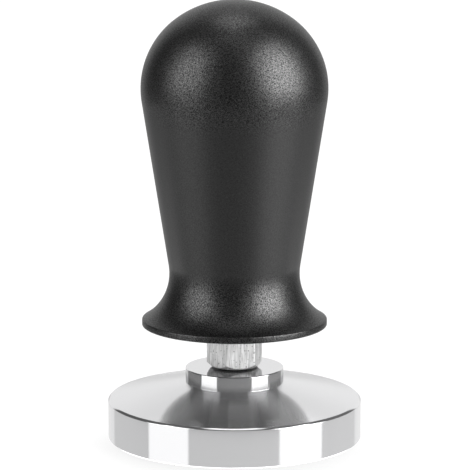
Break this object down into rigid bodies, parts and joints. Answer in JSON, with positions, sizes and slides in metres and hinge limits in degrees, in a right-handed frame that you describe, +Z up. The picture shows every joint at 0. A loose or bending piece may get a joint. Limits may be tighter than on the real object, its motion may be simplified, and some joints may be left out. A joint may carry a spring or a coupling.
{
  "type": "espresso tamper",
  "caption": "Sprung espresso tamper: ball-topped black handle sliding on a hexagonal stem above a polished flat round base.",
  "frame": {"origin": "centre of the base's flat underside", "axes": "+Z up along the stem's axis, towards the ball of the handle"},
  "size_m": [0.051, 0.051, 0.0883],
  "materials": {
    "polished_stainless": "mirror-polished stainless steel",
    "drawn_steel": "bare drawn hexagonal bar, satin with fine lengthwise lines",
    "black_anodised": "fine bead-blasted and black anodised",
    "black_oxide": "black oxide on alloy steel screws",
    "zinc_plated": "zinc plated steel",
    "spring_steel": "bright spring wire with ground ends",
    "turned_brass": "turned brass",
    "natural_acetal": "natural acetal, satin",
    "buffer_rubber": "black nitrile rubber"
  },
  "bodies": {
    "base": {"tamper_base": "polished_stainless", "base_stud": "black_oxide", "hex_stem": "drawn_steel", "return_buffer": "buffer_rubber", "guide_piston": "turned_brass", "stop_washer": "zinc_plated", "stop_screw": "black_oxide", "calibration_spring": "spring_steel"},
    "handle": {"handle_body": "black_anodised", "bottom_cover": "black_anodised", "cover_screw_1": "black_oxide", "cover_screw_2": "black_oxide", "cover_screw_3": "black_oxide", "guide_bush": "natural_acetal", "upper_spring_seat": "zinc_plated"}
  },
  "joints": [
    {"name": "handle_press", "type": "slide", "parent": "base", "child": "handle", "axis": [0, 0, 1], "range_m": [-0.0065, 0], "stiffness_N_per_m": 11700, "springref_m": 0.0051, "deforming": ["calibration_spring"]}
  ]
}
